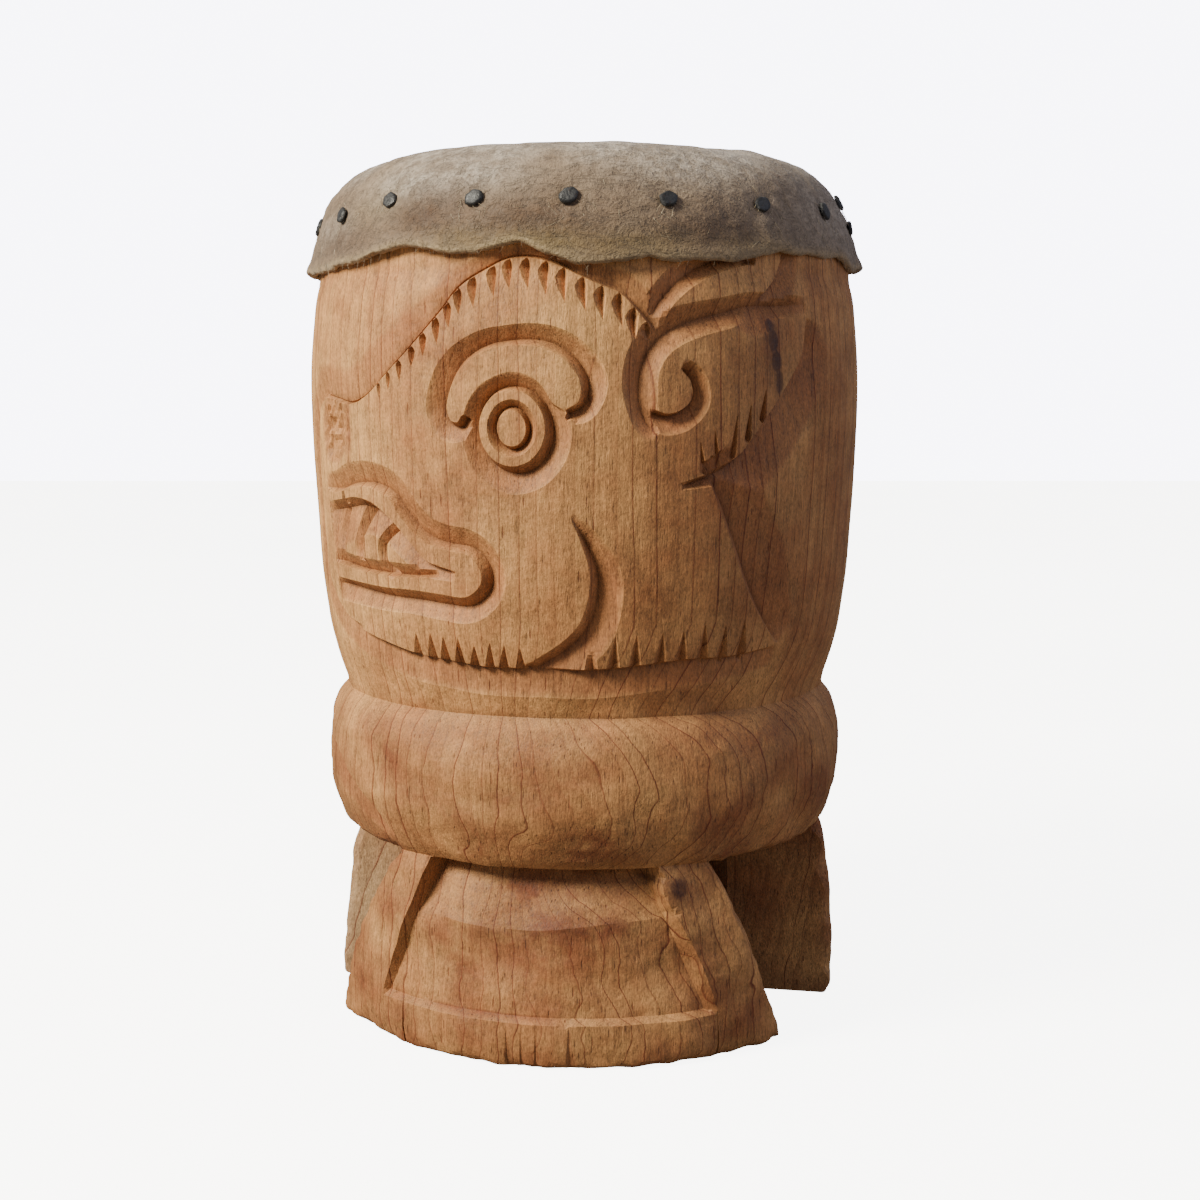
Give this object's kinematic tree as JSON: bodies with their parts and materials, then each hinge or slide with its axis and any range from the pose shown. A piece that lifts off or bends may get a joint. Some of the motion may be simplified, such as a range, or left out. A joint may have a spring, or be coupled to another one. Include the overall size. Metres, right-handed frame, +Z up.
{
  "type": "ceremonial drum",
  "caption": "Standing wooden ceremonial drum on carved feet, with an animal head carved in profile round the barrel and a raw hide nailed over its mouth.",
  "frame": {"origin": "on the drum's axis at floor level, under the feet", "axes": "+Z up along the drum's axis, the carved head faces -Y with its snout towards -X"},
  "size_m": [0.3, 0.3, 0.458],
  "materials": {
    "wood": "bare hand-carved softwood with tool marks and open cracks",
    "hide": "dried rawhide, grey-beige with stains and short hairs",
    "nail": "black forged iron, hammered"
  },
  "bodies": {
    "root": {"drum_body": "wood", "drum_skin": "hide", "nail_01": "nail", "nail_02": "nail", "nail_03": "nail", "nail_04": "nail", "nail_05": "nail", "nail_06": "nail", "nail_07": "nail", "nail_08": "nail", "nail_09": "nail", "nail_10": "nail", "nail_11": "nail", "nail_12": "nail", "nail_13": "nail", "nail_14": "nail", "nail_15": "nail", "nail_16": "nail", "nail_17": "nail", "nail_18": "nail", "nail_19": "nail"}
  },
  "joints": []
}
